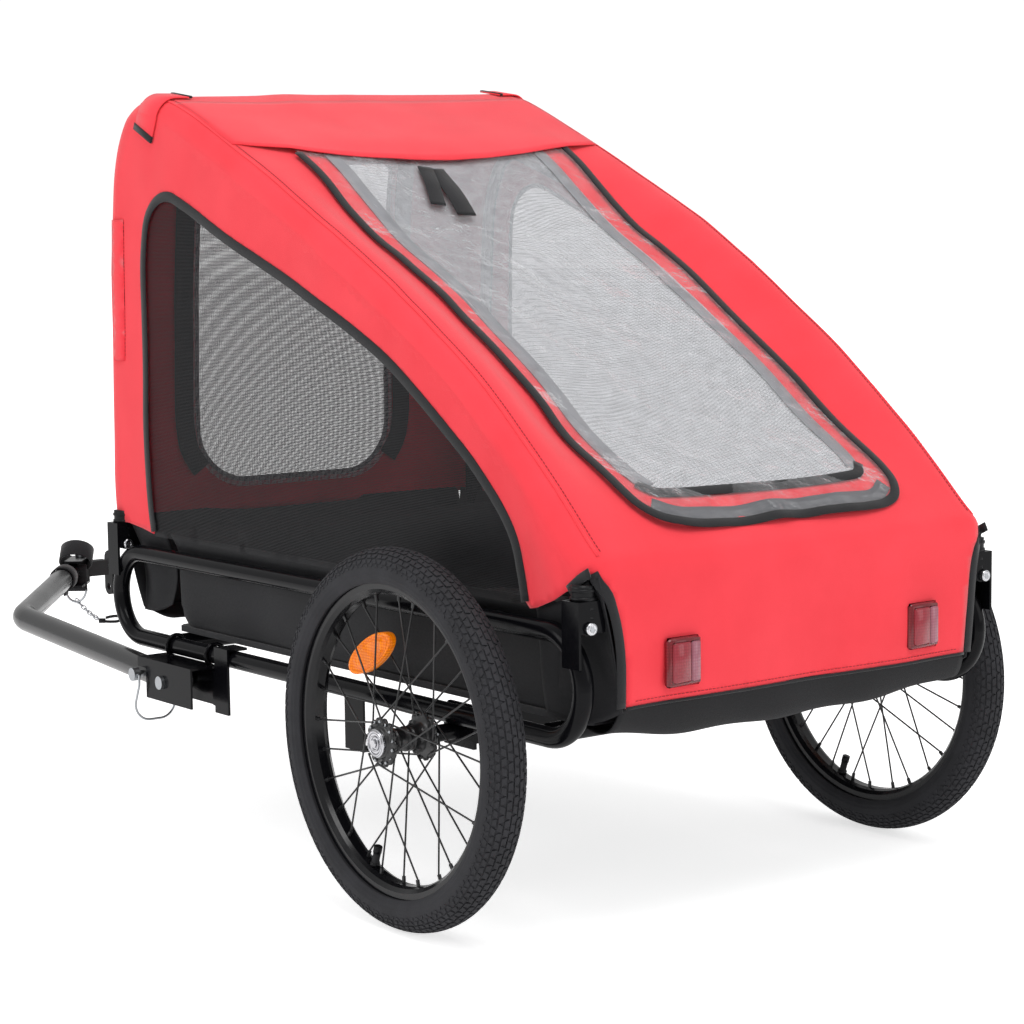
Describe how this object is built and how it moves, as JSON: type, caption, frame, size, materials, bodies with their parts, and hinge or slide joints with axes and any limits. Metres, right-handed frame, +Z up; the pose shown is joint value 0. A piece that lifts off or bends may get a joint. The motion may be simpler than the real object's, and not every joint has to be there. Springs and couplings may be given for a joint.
{
  "type": "bicycle trailer",
  "caption": "Two-wheeled bicycle trailer with a folding tube frame, fabric cabin with mesh and clear windows, side tow bar and pivoting axle hitch.",
  "frame": {"origin": "on the ground under the middle of the whole object's box, tow bar included", "axes": "+X forwards, towards the towing bicycle; +Y to the left, the tow bar's side; +Z up"},
  "size_m": [1.4674, 0.748, 0.887],
  "materials": {
    "black_coat": "gloss",
    "tyre_rubber": "matt",
    "tube_rubber": "matt",
    "rim_black": "satin",
    "spoke_black": "satin",
    "hub_black": "satin",
    "chrome": "polished",
    "zinc": "zinc plated",
    "amber_lens": "gloss",
    "red_lens": "gloss",
    "red_fabric": "woven, coated",
    "black_fabric": "woven, coated",
    "black_mesh": "open knit mesh",
    "grey_mesh": "open knit mesh",
    "clear_film": "clear, glossy",
    "black_plastic": "moulded",
    "floor_board": "matt",
    "elastomer": "satin"
  },
  "bodies": {
    "frame": {"left_side_rail": "black_coat", "right_side_rail": "black_coat", "floor_cross_tubes": "black_coat", "axle_beam": "black_coat", "axle_brackets": "black_coat", "axle_sockets": "black_coat", "quick_release_axles": "chrome", "corner_hinge_brackets": "black_coat", "hinge_bolts": "zinc", "top_cross_bar": "black_coat", "lower_tub": "black_fabric", "floor_panel": "floor_board", "cover_roof": "red_fabric", "cover_front_wall": "red_fabric", "cover_rear_panel": "red_fabric", "cover_left_wall": "red_fabric", "cover_right_wall": "red_fabric", "left_window_mesh": "black_mesh", "right_window_mesh": "black_mesh", "front_window_mesh": "grey_mesh", "roof_window_screen": "grey_mesh", "rear_reflectors": "red_lens", "rear_reflector_backs": "black_plastic", "flag_sleeve": "red_fabric", "corner_straps": "black_fabric", "drawbar_bracket": "black_coat", "drawbar_rail_clamps": "black_coat", "drawbar_pivot_bolt": "zinc", "bar_storage_clip": "black_coat"},
    "left_wheel": {"left_tyre": "tyre_rubber", "left_inner_tube": "tube_rubber", "left_rim": "rim_black", "left_hub_shell": "hub_black", "left_hub_bearings": "zinc", "left_spokes": "spoke_black", "left_spoke_reflector": "amber_lens"},
    "right_wheel": {"right_tyre": "tyre_rubber", "right_inner_tube": "tube_rubber", "right_rim": "rim_black", "right_hub_shell": "hub_black", "right_hub_bearings": "zinc", "right_spokes": "spoke_black", "right_spoke_reflector": "amber_lens"},
    "left_button": {"left_release_button": "chrome"},
    "right_button": {"right_release_button": "chrome"},
    "left_side_frame": {"left_upper_hoop": "black_coat"},
    "right_side_frame": {"right_upper_hoop": "black_coat"},
    "drawbar": {"drawbar_tube": "black_coat", "hitch_fork_plates": "black_coat", "hitch_yaw_pin": "zinc", "safety_strap": "black_fabric", "safety_chain": "zinc"},
    "lock_pin": {"lock_pin": "zinc"},
    "lock_bail": {"lock_bail": "zinc"},
    "hitch_coupler": {"hitch_elastomer": "elastomer", "hitch_pitch_pin": "zinc"},
    "hitch_plate": {"axle_hitch_plate": "black_coat"},
    "window_flap": {"clear_window_flap": "clear_film", "flap_tie_strap": "black_fabric"}
  },
  "joints": [
    {"name": "left_wheel_spin", "type": "hinge", "parent": "frame", "child": "left_wheel", "pos_m": [-0.48525, 0.341, 0.197], "axis": [0, 1, 0], "continuous": true},
    {"name": "right_wheel_spin", "type": "hinge", "parent": "frame", "child": "right_wheel", "pos_m": [-0.48525, -0.341, 0.197], "axis": [0, 1, 0], "continuous": true},
    {"name": "left_release_press", "type": "slide", "parent": "frame", "child": "left_button", "axis": [0, -1, 0], "range_m": [0, 0.0035], "stiffness_N_per_m": 800},
    {"name": "right_release_press", "type": "slide", "parent": "frame", "child": "right_button", "axis": [0, 1, 0], "range_m": [0, 0.0035], "stiffness_N_per_m": 800},
    {"name": "left_side_fold", "type": "hinge", "parent": "frame", "child": "left_side_frame", "pos_m": [-0.25025, 0.277, 0.331], "axis": [1, 0, 0], "range_deg": [0, 70]},
    {"name": "right_side_fold", "type": "hinge", "parent": "frame", "child": "right_side_frame", "pos_m": [-0.25025, -0.277, 0.331], "axis": [-1, 0, 0], "range_deg": [0, 87.5]},
    {"name": "drawbar_fold", "type": "hinge", "parent": "frame", "child": "drawbar", "pos_m": [0.04275, 0.3, 0.181], "axis": [0, 1, 0], "range_deg": [0, 150], "stiffness_Nm_per_rad": 3000},
    {"name": "lock_pin_pull", "type": "slide", "parent": "drawbar", "child": "lock_pin", "axis": [0, 1, 0], "range_m": [0, 0.06]},
    {"name": "lock_bail_swing", "type": "hinge", "parent": "lock_pin", "child": "lock_bail", "pos_m": [0.09675, 0.3265, 0.18491], "axis": [1, 0, 0], "range_deg": [0, 110]},
    {"name": "hitch_yaw", "type": "hinge", "parent": "drawbar", "child": "hitch_coupler", "pos_m": [0.72075, 0.074, 0.2285], "axis": [0, 0, 1], "range_deg": [-40, 40]},
    {"name": "hitch_pitch", "type": "hinge", "parent": "hitch_coupler", "child": "hitch_plate", "pos_m": [0.72075, 0.024, 0.2285], "axis": [0, 1, 0], "range_deg": [-30, 30]},
    {"name": "window_flap_lift", "type": "hinge", "parent": "frame", "child": "window_flap", "pos_m": [-0.08125, 0, 0.81519], "axis": [0, 1, 0], "range_deg": [0, 160]}
  ],
  "couplings": [
    {"joint": "right_side_fold", "follows": "left_side_fold", "ratio": 1.25},
    {"joint": "lock_pin_pull", "follows": "drawbar_fold", "m_per_rad": 0.022916},
    {"joint": "lock_bail_swing", "follows": "drawbar_fold", "ratio": 0.73326}
  ]
}
